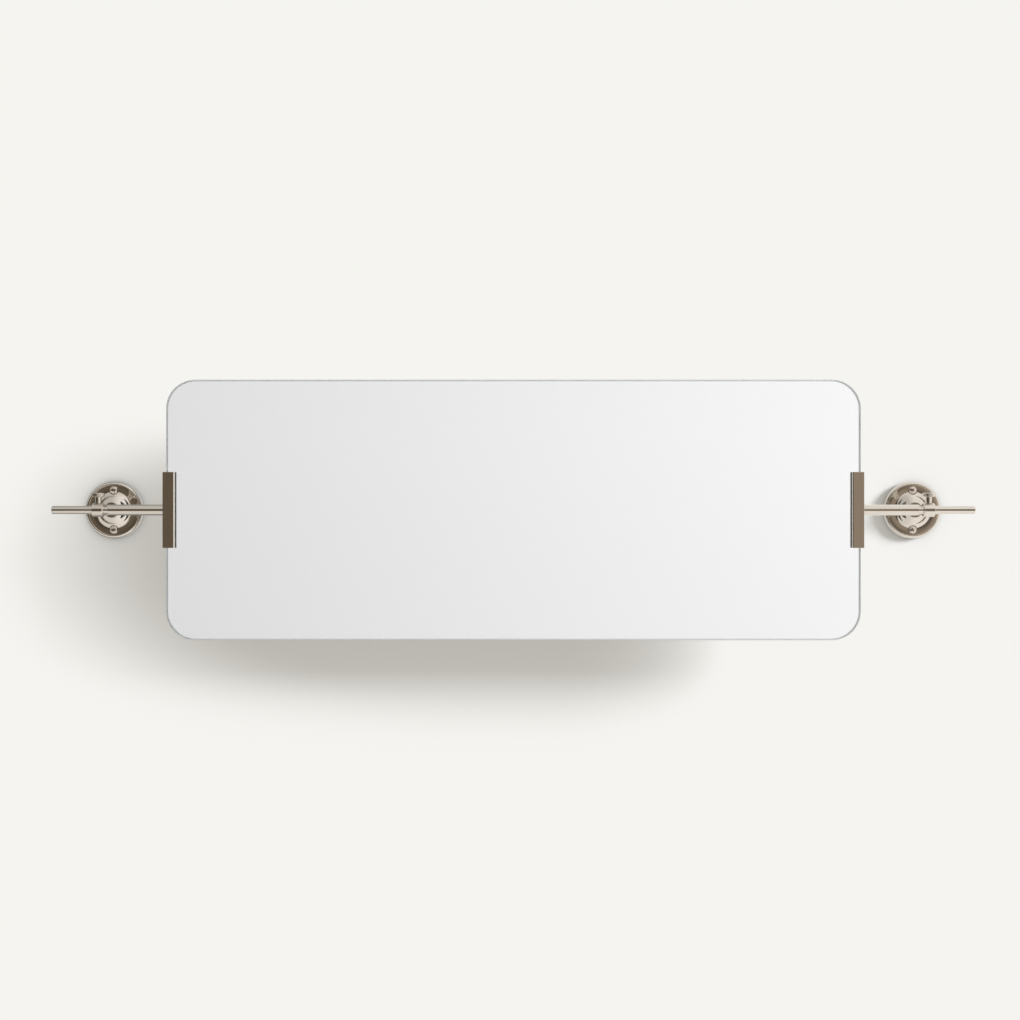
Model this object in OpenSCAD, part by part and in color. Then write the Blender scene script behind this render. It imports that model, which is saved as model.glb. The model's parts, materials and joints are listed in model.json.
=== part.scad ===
// Pivot wall mirror. A frameless pane is held at its short sides by two channel clips.
// Each clip is fixed to a rod, and the rods turn in collars on wall-mounted posts.
// +X is right, +Z is up, and the wall is the plane Y = 0 with the mirror in front of it at -Y.
// The origin lies on the wall, midway between the wall plates, at the height of the pivot axis.

/* [Mirror pane] */
// Width of the glass
glass_w = 812.8; // [500:0.1:1100]
// Height of the glass
glass_h = 304.8; // [180:0.1:320]
// Thickness of the glass
glass_t = 5; // [4:0.5:7]
// Radius of the glass corners
corner_r = 34; // [10:1:60]
// Width of the ground bevel along each edge of the glass
seam_w = 1.2; // [0.5:0.1:1.8]
// Thickness of the silver coat
silver_t = 0.2; // [0.1:0.05:0.4]
// Thickness of the safety backing
backing_t = 0.8; // [0.4:0.1:2]

/* [Channel clips] */
// Height of a clip along the edge of the glass
clip_h = 88.9; // [60:0.1:140]
// Width of a clip's front face
clip_w = 13.6; // [9:0.1:18]
// Thickness of the clip's front and rear legs
clip_leg_t = 3.2; // [2.4:0.1:5]
// Thickness of the clip's web, beside the edge of the glass
clip_web_t = 2.6; // [2:0.1:5]
// Rounding of the clip's long edges beside the edge of the glass
clip_edge_r = 0.3; // [0.2:0.1:1]
// Rounding of the long edges of the clip's legs
clip_leg_r = 1.2; // [0.3:0.1:1.4]
// Thickness of the rubber liner
liner_t = 0.6; // [0.4:0.1:1.2]
// How far the liner stays back from the ends of the clip's legs
liner_inset = 0.3; // [0:0.1:1.5]
// Diameter of the grub screws in the rear leg
grub_d = 4; // [3:0.5:5]
// Distance between the two grub screws of a clip
grub_spacing = 56; // [30:1:56]

/* [Rods and sleeves] */
// Diameter of a pivot rod
rod_d = 9.5; // [8:0.1:10]
// Length of the free rod outside the collar
tail_l = 47.6; // [20:0.1:80]
// Bevel at the rod's free end
rod_bevel = 1; // [0.5:0.1:1.6]
// Bevel at the sleeve's end beside the collar
sleeve_bevel = 0.5; // [0.2:0.1:1]
// Diameter of the rod's threaded end in the clip's web
rod_thread_d = 6; // [4:0.5:7]
// Outer diameter of a sleeve
sleeve_d = 12.7; // [11.5:0.1:13.5]
// Length of a sleeve
sleeve_l = 64.4; // [30:0.1:100]
// Bare rod between the sleeve and the collar
neck_l = 5.7; // [2:0.1:12]

/* [Collars and posts] */
// Diameter of a collar
collar_d = 15.9; // [15:0.1:18]
// Length of a collar along the rod
collar_l = 13.1; // [12.9:0.1:18]
// Bevel round the collar's ends
collar_bevel = 0.6; // [0.3:0.1:1.2]
// Distance from the wall to the pivot axis
axis_off = 76.2; // [60:0.1:110]
// Diameter of a post
post_d = 12.7; // [11:0.1:12.8]
// Diameter of the post's spigot in the collar
spigot_d = 6.4; // [5:0.1:8]

/* [Thumb screws] */
// Diameter of the thumb screw's head
thumb_head_d = 14.6; // [10:0.1:16]
// Thickness of the thumb screw's head
thumb_head_t = 4.6; // [3:0.1:7]
// Diameter of the plain neck under the head
thumb_neck_d = 7.5; // [6.2:0.1:9]
// Height of the neck
thumb_neck_h = 7.2; // [4:0.1:12]
// Diameter of the thumb screw's thread
thumb_thread_d = 5.9; // [4.5:0.1:6]
// Bevel round both faces of the head
thumb_bevel = 0.5; // [0.2:0.1:1]
// Bevel at the ends of the thumb and grub screws and of the brake plug
tip_bevel = 0.3; // [0.1:0.05:0.4]
// Thickness of the brake plug between thumb screw and rod
plug_t = 1.1; // [0.8:0.1:1.4]

/* [Wall plates] */
// Diameter of a wall plate
plate_d = 69; // [66:0.5:90]
// Height of the rim's crest above the wall
rim_h = 7; // [6:0.1:10]
// Radius of the rim's outer edge
rim_round = 3.4; // [2:0.1:3.6]
// Radius of the rim's inner edge
rim_lip = 0.3; // [0.2:0.05:0.9]
// Height above the wall of the trough between rim and dome
trough_h = 4.4; // [4:0.1:4.6]
// Depth of the trough's shallow curve
trough_sag = 0.1; // [0.05:0.05:0.4]
// Diameter of the dome
dome_d = 44.6; // [43:0.2:45.4]
// Radius of the ball that the dome's top is part of
dome_ball_r = 22.6; // [21:0.1:23]
// Slope of the dome's side
dome_slope = 46; // [44:0.5:47]
// Radius of the cove in which the dome's side runs out
cove_r = 10; // [8.5:0.5:14]
// Diameter of the dome where the cove begins
cove_d = 34.6; // [34:0.1:36]
// Height of the step from the trough up to the dome
dome_step = 0.6; // [0.2:0.1:1.5]
// Depth of the hollow in the plate's back
hollow_depth = 1.2; // [1:0.1:1.6]
// Width of the flat seat round the plate's back
seat_w = 3.5; // [2.5:0.1:5]
// Diameter of the hub that carries the post
hub_d = 19; // [16:0.1:22]
// Height of the hub's front above the wall
hub_h = 17; // [16.5:0.1:20]
// Bevel round the hub's front
hub_bevel = 0.4; // [0.2:0.1:1]
// Width of the solid ring left behind the plate, round the hub
hub_skirt_w = 2.5; // [1:0.1:4]
// Depth of the post's seat in the hub
post_seat = 5; // [3:0.1:6]

/* [Screws] */
// Distance between the two wall screws of a plate
screw_spacing = 48.5; // [47.5:0.1:49]
// Diameter of a wall screw's head
screw_head_d = 10.2; // [8:0.1:10.4]
// Diameter of the seat cut into the dome and the trough round a screw's head
screw_seat_d = 11.6; // [10.8:0.1:11.6]
// Height of the head's rim above the wall
screw_rim_h = 4.8; // [4.7:0.1:5.2]
// Height of the head's crown over its rim
screw_crown = 1.9; // [1:0.1:2.4]
// Diameter of the wall screw under its head, where it flares from the shank
screw_neck_d = 5; // [4.9:0.1:5.4]
// Diameter of the wall screw's plain shank and thread
screw_d = 4.8; // [4:0.1:4.8]
// Length of plain shank beyond the wall's face
screw_plain_l = 9; // [4:0.5:16]
// Length of thread beyond the plain shank
screw_thread_l = 29; // [18:0.5:50]
// Length of the wall screw's point
screw_point_l = 4.2; // [2:0.1:8]
// Pitch of the wall screw's thread
screw_pitch = 2.2; // [1.6:0.1:3]
// Depth of the wall screw's thread
thread_depth = 0.7; // [0.4:0.05:1]
// Width of a thread ridge at its foot
ridge_w = 1; // [0.6:0.1:1.4]
// Width across a wall screw's cross recess
recess_d = 5.3; // [4:0.1:7]
// Thickness of a cross recess's wings
recess_slot = 1.1; // [0.8:0.1:1.6]
// Diameter of the screw that holds the post
post_screw_d = 6; // [4:0.5:7]
// Length of the post screw under its head
post_screw_l = 16; // [10:0.5:24]
// Diameter of the post screw's head
post_screw_head_d = 10.4; // [9:0.1:11]
// Thickness of the post screw's head
post_screw_head_t = 3.4; // [2.4:0.1:4]
// Bevel round the post screw's head and at its end
post_screw_bevel = 0.5; // [0.2:0.1:0.8]
// Height above the wall of the face that the post screw's head bears on
post_screw_seat = 7; // [5:0.1:8]

/* [Clearances] */
// Radial clearance of the parts that turn or slide in the collars
running_gap = 0.08; // [0.03:0.01:0.1]
// Radial clearance of fixed pieces in their holes
fixed_gap = 0.05; // [0.02:0.01:0.1]
// Gap between the brake plug and the rod when it is set for tilting
plug_gap = 0.3; // [0.2:0.05:0.5]
// Gap between the thumb screw's neck and the collar
thumb_gap = 0.3; // [0.2:0.05:0.5]
// Radial clearance of the post screw in the plate
post_screw_gap = 0.4; // [0.2:0.05:0.6]
// Depth of the post's tapped hole beyond the end of its screw
tap_runout = 1; // [0.5:0.1:3]
// How far the wall screw's flare ends below the hollow in the plate's back
flare_inset = 0.4; // [0.2:0.05:0.6]

/* [Hidden] */
$fn = 96;

// Overlap of joined shapes, and how far a cut runs past the face that it opens
eps = 0.01;
past = 1;
nickel = [0.80, 0.76, 0.70];

// The glass, its coats and the liner fill the clip's channel, centred on the pivot axis
stack_t = glass_t + silver_t + backing_t;
channel_t = stack_t + 2 * liner_t;
clip_t = channel_t + 2 * clip_leg_t;
glass_front = axis_off + stack_t / 2;
glass_back = glass_front - glass_t;
silver_back = glass_back - silver_t;

// Places along X, from the middle of the mirror outwards
glass_x = glass_w / 2;
channel_x = glass_x + liner_t;
clip_x = channel_x + clip_web_t;
clip_inner_x = clip_x - clip_w;
grub_x = (clip_inner_x + glass_x) / 2;
sleeve_x = clip_x + sleeve_l;
collar_x = sleeve_x + neck_l;
plate_x = collar_x + collar_l / 2;
tail_x = collar_x + collar_l + tail_l;

// Heights above the wall, inside a plate
crest_r = plate_d / 2 - rim_round;
trough_r = crest_r - rim_lip;
dome_r = dome_d / 2;
ball_edge_r = dome_ball_r * sin(dome_slope);
cove_x = cove_d / 2 + cove_r * sin(dome_slope);
cove_z = trough_h + dome_step + sqrt(cove_r * cove_r - (cove_x - dome_r) * (cove_x - dome_r));
side_z = cove_z - cove_r * cos(dome_slope);
ball_edge_z = side_z + (cove_d / 2 - ball_edge_r) * tan(dome_slope);
ball_z = ball_edge_z - dome_ball_r * cos(dome_slope);
sag_w = trough_r - dome_r;
sag_r = (sag_w * sag_w / 4 + trough_sag * trough_sag) / (2 * trough_sag);
hub_r = hub_d / 2;
hub_skirt_r = hub_r + hub_skirt_w;
seat_r = plate_d / 2 - seat_w;
post_back = hub_h - post_seat;

// The thumb screw and its brake plug, measured up from the pivot axis
bore_r = rod_d / 2 + running_gap;
tap_r = thumb_thread_d / 2 + running_gap;
plug_z = rod_d / 2 + plug_gap;
thumb_tip_z = plug_z + plug_t;
neck_z = collar_d / 2 + thumb_gap;
head_z = neck_z + thumb_neck_h;

module left() mirror([1, 0, 0]) children();

// Turns a shape so that its Z axis points off the wall
module off_wall() rotate([90, 0, 0]) children();

// Turns a shape so that its Z axis points to the right
module along_x() rotate([0, 90, 0]) children();

// A round bar on Z with its ends at z0 and z1, each bevelled by its own amount
module bar(r, z0, z1, bevel0, bevel1) rotate_extrude() polygon(concat(
    [[0, z0], [r - bevel0, z0]],
    bevel0 > 0 ? [[r, z0 + bevel0]] : [],
    bevel1 > 0 ? [[r, z1 - bevel1]] : [],
    [[r - bevel1, z1], [0, z1]]
));

// A sheet with rounded corners that stands behind the plane at the given distance from the wall
module sheet(w, h, r, front, t) translate([0, -front + t, 0]) off_wall() linear_extrude(t) {
    square([w - 2 * r, h], center = true);
    square([w, h - 2 * r], center = true);
    for (sx = [-1, 1], sz = [-1, 1])
        translate([sx * (w / 2 - r), sz * (h / 2 - r)]) circle(r);
}

// Half of a bevelled edge, as an outline with its rim at reach and its thickness up to t
function rim_outline(reach, t) = [
    [0, 0], [reach - seam_w, 0], [reach, seam_w],
    [reach, t - seam_w], [reach - seam_w, t], [0, t]
];

// The full bevelled outline from one edge to the other
function slab_outline(reach, t) = concat(
    [for (p = rim_outline(reach, t)) if (p[0] > 0) p],
    [for (i = [4:-1:1]) [-rim_outline(reach, t)[i][0], rim_outline(reach, t)[i][1]]]
);

// Pane of float glass with round corners and a ground bevel along every edge
module mirror_glass() color([0.78, 0.86, 0.84]) translate([0, -glass_back, 0]) off_wall() {
    run_x = glass_w - 2 * corner_r;
    run_z = glass_h - 2 * corner_r;
    rotate([90, 0, 90]) linear_extrude(run_x, center = true) polygon(slab_outline(glass_h / 2, glass_t));
    rotate([90, 0, 0]) linear_extrude(run_z, center = true) polygon(slab_outline(glass_x, glass_t));
    for (sx = [-1, 1], sz = [-1, 1])
        translate([sx * run_x / 2, sz * run_z / 2, 0])
            rotate_extrude() polygon(rim_outline(corner_r, glass_t));
}

module silver_coat() color([0.88, 0.89, 0.90])
    sheet(glass_w - 2 * seam_w, glass_h - 2 * seam_w, corner_r - seam_w, glass_back, silver_t);

module safety_backing() color([0.07, 0.07, 0.075])
    sheet(glass_w - 2 * seam_w, glass_h - 2 * seam_w, corner_r - seam_w, silver_back, backing_t);

// Outline of a bar section, with corners of radius r0 at x0 and of radius r1 at x1
module round_section(x0, x1, t, r0, r1) {
    translate([x0 + r0, -t / 2]) square([x1 - x0 - r0 - r1, t]);
    translate([x0, -t / 2 + r0]) square([r0 + eps, t - 2 * r0]);
    translate([x1 - r1 - eps, -t / 2 + r1]) square([r1 + eps, t - 2 * r1]);
    for (corner = [[x0 + r0, r0], [x1 - r1, r1]], y = [-1, 1])
        translate([corner[0], y * (t / 2 - corner[1])]) circle(corner[1]);
}

module clip() color(nickel) translate([0, -axis_off, 0]) difference() {
    linear_extrude(clip_h, center = true) difference() {
        round_section(clip_inner_x, clip_x, clip_t, clip_leg_r, clip_edge_r);
        translate([clip_inner_x - eps, -channel_t / 2]) square([channel_x - clip_inner_x + eps, channel_t]);
    }
    along_x() cylinder(r = rod_thread_d / 2 + fixed_gap, h = clip_x + eps);
    for (sz = [-1, 1])
        translate([grub_x, 0, sz * grub_spacing / 2])
            rotate([-90, 0, 0]) cylinder(r = grub_d / 2 + fixed_gap, h = clip_t);
}

// Folded strip of rubber between the clip and the glass
module clip_liner() color([0.10, 0.10, 0.11]) translate([0, -axis_off, 0])
    linear_extrude(clip_h, center = true) difference() {
        translate([clip_inner_x + liner_inset, -channel_t / 2])
            square([channel_x - clip_inner_x - liner_inset, channel_t]);
        translate([clip_inner_x, -stack_t / 2]) square([glass_x - clip_inner_x, stack_t]);
    }

// Two grub screws that press the liner against the pane's back
module grub_screws() color([0.42, 0.41, 0.40]) for (sz = [-1, 1])
    translate([grub_x, -axis_off + channel_t / 2, sz * grub_spacing / 2]) rotate([-90, 0, 0])
        difference() {
            bar(grub_d / 2, fixed_gap, clip_leg_t - 2 * fixed_gap, tip_bevel, tip_bevel);
            translate([0, 0, clip_leg_t / 2]) cylinder(d = grub_d / 2, h = clip_leg_t, $fn = 6);
        }

// Rod with a threaded end in the clip's web and a bevelled free end
module pivot_rod() color(nickel) translate([0, -axis_off, 0]) along_x() {
    bar(rod_d / 2, clip_x, tail_x, 0, rod_bevel);
    translate([0, 0, channel_x]) cylinder(d = rod_thread_d, h = clip_web_t + eps);
}

module sleeve() color(nickel) translate([0, -axis_off, 0]) along_x() difference() {
    bar(sleeve_d / 2, clip_x, sleeve_x, 0, sleeve_bevel);
    translate([0, 0, clip_x - eps]) cylinder(r = rod_d / 2 + fixed_gap, h = sleeve_l + 2 * eps);
}

// Collar bored for the rod, tapped on top for the thumb screw and drilled behind for the post
module collar() color(nickel) translate([0, -axis_off, 0]) difference() {
    along_x() bar(collar_d / 2, collar_x, collar_x + collar_l, collar_bevel, collar_bevel);
    translate([collar_x - eps, 0, 0]) along_x() cylinder(r = bore_r, h = collar_l + 2 * eps);
    translate([plate_x, 0, 0]) cylinder(r = tap_r, h = collar_d);
    translate([plate_x, 0, 0]) rotate([-90, 0, 0])
        cylinder(r = spigot_d / 2 + fixed_gap, h = collar_d);
}

// Post between the hub and the collar, shaped to the collar and tapped behind for its screw
module post() color(nickel) translate([plate_x, 0, 0]) off_wall() {
    spigot_end = axis_off - bore_r - plug_gap;
    difference() {
        bar(post_d / 2, post_back, axis_off, 0, 0);
        translate([0, 0, axis_off]) along_x()
            cylinder(r = collar_d / 2 + fixed_gap, h = 2 * collar_l, center = true);
        translate([0, 0, post_screw_seat])
            cylinder(r = post_screw_d / 2 + fixed_gap, h = post_screw_l + tap_runout);
    }
    translate([0, 0, axis_off - collar_d]) cylinder(d = spigot_d, h = spigot_end - axis_off + collar_d);
}

// Thumb screw at the tightness that still lets the mirror turn
module thumb_screw() color(nickel) translate([plate_x, -axis_off, 0]) {
    bar(thumb_thread_d / 2, thumb_tip_z, neck_z + eps, tip_bevel, 0);
    bar(thumb_neck_d / 2, neck_z, head_z + eps, tip_bevel, 0);
    bar(thumb_head_d / 2, head_z, head_z + thumb_head_t, thumb_bevel, thumb_bevel);
}

// Plug of hard nylon that brakes the rod without marking it
module brake_plug() color([0.90, 0.89, 0.84]) translate([plate_x, -axis_off, 0])
    bar(thumb_thread_d / 2, plug_z, thumb_tip_z, tip_bevel, 0);

// Half section of a wall plate: distance from the axis, then height above the wall
module plate_section() difference() {
    union() {
        difference() {
            square([plate_d / 2, trough_h]);
            translate([dome_r + sag_w / 2, trough_h - trough_sag + sag_r]) circle(sag_r);
        }
        translate([crest_r, 0]) square([rim_round, rim_h - rim_round]);
        intersection() {
            translate([crest_r, rim_h - rim_round]) circle(rim_round);
            translate([crest_r - eps, 0]) square([rim_round + eps, rim_h]);
        }
        translate([trough_r, 0]) square([rim_lip, rim_h - rim_lip]);
        translate([crest_r, rim_h - rim_lip]) circle(rim_lip);
        difference() {
            translate([cove_d / 2 - eps, 0]) square([dome_r - cove_d / 2 + eps, side_z]);
            translate([cove_x, cove_z]) circle(cove_r);
        }
        polygon([[0, 0], [cove_d / 2, 0], [cove_d / 2, side_z], [ball_edge_r, ball_edge_z], [0, ball_edge_z]]);
        intersection() {
            translate([0, ball_z]) circle(dome_ball_r);
            square([ball_edge_r, hub_h]);
        }
        polygon([[0, 0], [hub_r, 0], [hub_r, hub_h - hub_bevel], [hub_r - hub_bevel, hub_h], [0, hub_h]]);
    }
    translate([hub_skirt_r, -past]) square([seat_r - hub_skirt_r, hollow_depth + past]);
    translate([-past, -past]) {
        square([post_screw_d / 2 + post_screw_gap + past, hub_h + 2 * past]);
        square([post_screw_head_d / 2 + post_screw_gap + past, post_screw_seat + past]);
    }
    translate([-past, post_back]) square([post_d / 2 + fixed_gap + past, post_seat + past]);
}

module wall_plate() color(nickel) translate([plate_x, 0, 0]) off_wall() difference() {
    cone_h = (screw_head_d - screw_neck_d) / 2;
    rotate_extrude() plate_section();
    for (sz = [-1, 1]) translate([0, sz * screw_spacing / 2, 0]) {
        translate([0, 0, -past]) cylinder(r = screw_neck_d / 2 + fixed_gap, h = rim_h);
        translate([0, 0, screw_rim_h - cone_h])
            cylinder(r1 = screw_neck_d / 2 + fixed_gap, r2 = screw_head_d / 2 + fixed_gap, h = cone_h);
        translate([0, 0, trough_h]) cylinder(d = screw_seat_d, h = hub_h);
    }
}

// Cross recess for a driver, cut downwards from z = 0 and as deep as it reaches sideways
module cross_recess(reach) intersection() {
    translate([0, 0, -reach]) cylinder(r1 = recess_slot / 2, r2 = reach, h = reach + eps);
    for (a = [0, 90]) rotate([0, 0, a]) cube([2 * reach, recess_slot, 3 * reach], center = true);
}

// Oval-head screw: countersunk head, plain shank through the wall's face, then the thread
module wall_screw() {
    head_r = screw_head_d / 2;
    neck_r = screw_neck_d / 2;
    shank_r = screw_d / 2;
    root_r = shank_r - thread_depth;
    crown_r = (head_r * head_r + screw_crown * screw_crown) / (2 * screw_crown);
    turns = floor((screw_thread_l - screw_point_l - ridge_w / 2) / screw_pitch);
    flare_h = hollow_depth - flare_inset;
    thread_z = -screw_plain_l;
    difference() {
        union() {
            rotate_extrude() polygon(concat(
                [[0, screw_rim_h + eps], [head_r, screw_rim_h + eps], [head_r, screw_rim_h]],
                [[neck_r, screw_rim_h - head_r + neck_r], [shank_r, flare_h]],
                [[shank_r, thread_z], [root_r, thread_z - ridge_w / 2]],
                [for (i = [1:turns], p = [[root_r, 1], [shank_r, 0], [root_r, -1]])
                    [p[0], thread_z - i * screw_pitch + p[1] * ridge_w / 2]],
                [[root_r, thread_z - screw_thread_l + screw_point_l], [0, thread_z - screw_thread_l]]
            ));
            rotate_extrude() intersection() {
                translate([0, screw_rim_h + screw_crown - crown_r]) circle(crown_r);
                translate([0, screw_rim_h]) square([head_r, screw_crown + past]);
            }
        }
        translate([0, 0, screw_rim_h + screw_crown]) cross_recess(recess_d / 2);
    }
}

module wall_screws() color([0.78, 0.75, 0.69]) translate([plate_x, 0, 0]) off_wall()
    for (sz = [-1, 1]) translate([0, sz * screw_spacing / 2, 0]) wall_screw();

// Machine screw from the plate's back into the post
module post_screw() color([0.62, 0.62, 0.63]) translate([plate_x, 0, 0]) off_wall() difference() {
    union() {
        translate([0, 0, post_screw_seat - post_screw_head_t])
            bar(post_screw_head_d / 2, 0, post_screw_head_t, post_screw_bevel, 0);
        translate([0, 0, post_screw_seat - eps])
            bar(post_screw_d / 2, 0, post_screw_l, 0, post_screw_bevel);
    }
    translate([0, 0, post_screw_seat - post_screw_head_t]) mirror([0, 0, 1])
        cross_recess(post_screw_d / 2);
}

mirror_glass();
silver_coat();
safety_backing();
left() clip();  // left_clip
clip();  // right_clip
left() clip_liner();  // left_clip_liner
clip_liner();  // right_clip_liner
left() grub_screws();  // left_grub_screws
grub_screws();  // right_grub_screws
left() pivot_rod();  // left_pivot_rod
pivot_rod();  // right_pivot_rod
left() sleeve();  // left_sleeve
sleeve();  // right_sleeve
left() collar();  // left_collar
collar();  // right_collar
left() post();  // left_post
post();  // right_post
left() thumb_screw();  // left_thumb_screw
thumb_screw();  // right_thumb_screw
left() brake_plug();  // left_brake_plug
brake_plug();  // right_brake_plug
left() wall_plate();  // left_wall_plate
wall_plate();  // right_wall_plate
left() wall_screws();  // left_wall_screws
wall_screws();  // right_wall_screws
left() post_screw();  // left_post_screw
post_screw();  // right_post_screw
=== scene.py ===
import json
import math
import bpy
import bmesh
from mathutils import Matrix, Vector

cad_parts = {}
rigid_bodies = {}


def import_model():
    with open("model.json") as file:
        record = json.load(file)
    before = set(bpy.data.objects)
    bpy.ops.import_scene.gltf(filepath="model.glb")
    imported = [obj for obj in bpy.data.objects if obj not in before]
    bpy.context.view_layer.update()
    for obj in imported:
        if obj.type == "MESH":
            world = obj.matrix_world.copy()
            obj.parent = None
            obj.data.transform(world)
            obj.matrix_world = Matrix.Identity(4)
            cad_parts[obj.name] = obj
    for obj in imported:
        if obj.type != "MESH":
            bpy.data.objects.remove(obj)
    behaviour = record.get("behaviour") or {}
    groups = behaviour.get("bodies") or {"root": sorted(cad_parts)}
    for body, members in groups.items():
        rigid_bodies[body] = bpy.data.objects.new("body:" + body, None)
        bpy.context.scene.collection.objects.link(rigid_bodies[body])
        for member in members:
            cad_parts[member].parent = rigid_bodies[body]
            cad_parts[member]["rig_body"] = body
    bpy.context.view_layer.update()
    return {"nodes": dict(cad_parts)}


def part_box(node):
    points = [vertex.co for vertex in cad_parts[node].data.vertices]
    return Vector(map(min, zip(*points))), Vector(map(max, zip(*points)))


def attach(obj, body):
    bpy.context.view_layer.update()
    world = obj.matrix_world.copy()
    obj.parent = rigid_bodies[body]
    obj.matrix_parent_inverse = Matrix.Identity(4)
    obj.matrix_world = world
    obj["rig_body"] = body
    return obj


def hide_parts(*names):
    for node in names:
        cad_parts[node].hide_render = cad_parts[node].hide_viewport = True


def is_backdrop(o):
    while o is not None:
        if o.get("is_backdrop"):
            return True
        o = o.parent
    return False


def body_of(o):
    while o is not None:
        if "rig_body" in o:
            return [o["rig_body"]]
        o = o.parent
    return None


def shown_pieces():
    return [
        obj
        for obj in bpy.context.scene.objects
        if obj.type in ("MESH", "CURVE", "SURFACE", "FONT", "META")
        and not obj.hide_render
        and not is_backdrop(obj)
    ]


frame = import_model()
scene = bpy.context.scene
scene.view_settings.view_transform = "Standard"
print("frame loaded:", len(frame["nodes"]), "nodes")

mm = 0.001
sides = {"left": -1, "right": 1}


# ---- helpers for meshes

def eased(corners, closed=False, degreesPerPoint=12):
    # corners are (x, y) or (x, y, radius); each one with a radius becomes an arc
    points = []
    for i, corner in enumerate(corners):
        atEnd = not closed and i in (0, len(corners) - 1)
        if len(corner) < 3 or atEnd:
            points.append(tuple(corner[:2]))
            continue
        here, radius = Vector(corner[:2]), corner[2]
        before = (Vector(corners[i - 1][:2]) - here).normalized()
        after = (Vector(corners[(i + 1) % len(corners)][:2]) - here).normalized()
        halfAngle = before.angle(after) / 2
        middle = here + (before + after).normalized() * (radius / math.sin(halfAngle))
        start = here + before * (radius / math.tan(halfAngle)) - middle
        turn = math.pi - 2 * halfAngle
        if start.x * before.y - start.y * before.x > 0:
            turn = -turn
        count = max(2, math.ceil(math.degrees(abs(turn)) / degreesPerPoint))
        for k in range(count + 1):
            angle = turn * k / count
            points.append((
                middle.x + start.x * math.cos(angle) - start.y * math.sin(angle),
                middle.y + start.x * math.sin(angle) + start.y * math.cos(angle),
            ))
    return points


def arc(middleX, middleY, radius, fromDegrees, toDegrees, count):
    angles = [math.radians(fromDegrees + (toDegrees - fromDegrees) * k / count) for k in range(count + 1)]
    return [(middleX + radius * math.cos(a), middleY + radius * math.sin(a)) for a in angles]


def joinRings(bm, rings, closed=False):
    # each ring is a list of vertices, or one vertex where the surface meets its axis
    pairs = list(zip(rings, rings[1:])) + ([(rings[-1], rings[0])] if closed else [])
    for a, b in pairs:
        count = max(len(a), len(b))
        for i in range(count):
            j = (i + 1) % count
            face = [a[i % len(a)], a[j % len(a)], b[j % len(b)], b[i % len(b)]]
            face = [v for k, v in enumerate(face) if v not in face[:k]]
            if len(face) > 2:
                bm.faces.new(face)


def turned(bm, outline, place, steps=96, closed=False, ripple=None):
    # outline is (radius, along); place puts (across, up, along) in the row frame
    rings = []
    for row, (radius, along) in enumerate(outline):
        if radius < 1e-9:
            rings.append([bm.verts.new(place(0, 0, along))])
            continue
        ring = []
        for k in range(steps):
            angle = 2 * math.pi * k / steps
            reach = radius - (ripple(row, k) if ripple else 0)
            ring.append(bm.verts.new(place(reach * math.cos(angle), reach * math.sin(angle), along)))
        rings.append(ring)
    joinRings(bm, rings, closed)


def prism(bm, outline, place, stations):
    # stations are (along, inset): the outline moves in by inset at each of them
    rings = []
    for along, inset in stations:
        ring = []
        for i, point in enumerate(outline):
            before, after = Vector(outline[i - 1]), Vector(outline[(i + 1) % len(outline)])
            way = (after - before).normalized()
            ring.append(bm.verts.new(place(point[0] - way.y * inset, point[1] + way.x * inset, along)))
        rings.append(ring)
    joinRings(bm, rings)
    bm.faces.new(rings[0])
    bm.faces.new(rings[-1])


def meshFrom(bm, name, material, sharpAbove=32):
    bmesh.ops.remove_doubles(bm, verts=bm.verts, dist=1e-7)
    bmesh.ops.dissolve_degenerate(bm, edges=bm.edges, dist=1e-8)
    bmesh.ops.recalc_face_normals(bm, faces=bm.faces)
    mesh = bpy.data.meshes.new(name)
    bm.to_mesh(mesh)
    bm.free()
    piece = bpy.data.objects.new(name, mesh)
    scene.collection.objects.link(piece)
    mesh.materials.append(material)
    shade(piece, sharpAbove)
    return piece


def shade(piece, sharpAbove):
    mesh = piece.data
    mesh.shade_smooth()
    mesh.set_sharp_from_angle(angle=math.radians(sharpAbove))


def applied(piece, kind, **settings):
    change = piece.modifiers.new("change", kind)
    for key, value in settings.items():
        setattr(change, key, value)
    depsgraph = bpy.context.evaluated_depsgraph_get()
    before = piece.data
    piece.data = bpy.data.meshes.new_from_object(
        piece.evaluated_get(depsgraph), preserve_all_data_layers=True, depsgraph=depsgraph)
    piece.modifiers.clear()
    piece.data.name = piece.name
    bpy.data.meshes.remove(before)


def cutAway(piece, cutter, sharpAbove=32):
    applied(piece, "BOOLEAN", operation="DIFFERENCE", solver="EXACT", object=cutter)
    bpy.data.objects.remove(cutter)
    shade(piece, sharpAbove)


def fit(piece, body, slotName, *nodes):
    # large faces keep their own direction, so that only the small ones between them look rounded
    applied(piece, "WEIGHTED_NORMAL", keep_sharp=True, weight=100)
    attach(piece, body)
    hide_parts(*nodes)


# ---- helpers for materials

def newMaterial(name):
    material = bpy.data.materials.new(name)
    material.use_nodes = True
    return material, material.node_tree, material.node_tree.nodes["Principled BSDF"]


def addNode(tree, kind, inputs=(), **settings):
    node = tree.nodes.new(kind)
    for key, value in settings.items():
        setattr(node, key, value)
    for key, value in dict(inputs).items():
        if isinstance(value, bpy.types.NodeSocket):
            tree.links.new(value, node.inputs[key])
        else:
            node.inputs[key].default_value = value
    return node


def newGroup(name, inputs, outputs):
    tree = bpy.data.node_groups.new(name, "ShaderNodeTree")
    for label, (kind, value) in inputs.items():
        tree.interface.new_socket(label, in_out="INPUT", socket_type=kind).default_value = value
    for label, kind in outputs.items():
        tree.interface.new_socket(label, in_out="OUTPUT", socket_type=kind)
    return tree, tree.nodes.new("NodeGroupInput").outputs, tree.nodes.new("NodeGroupOutput").inputs


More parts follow.
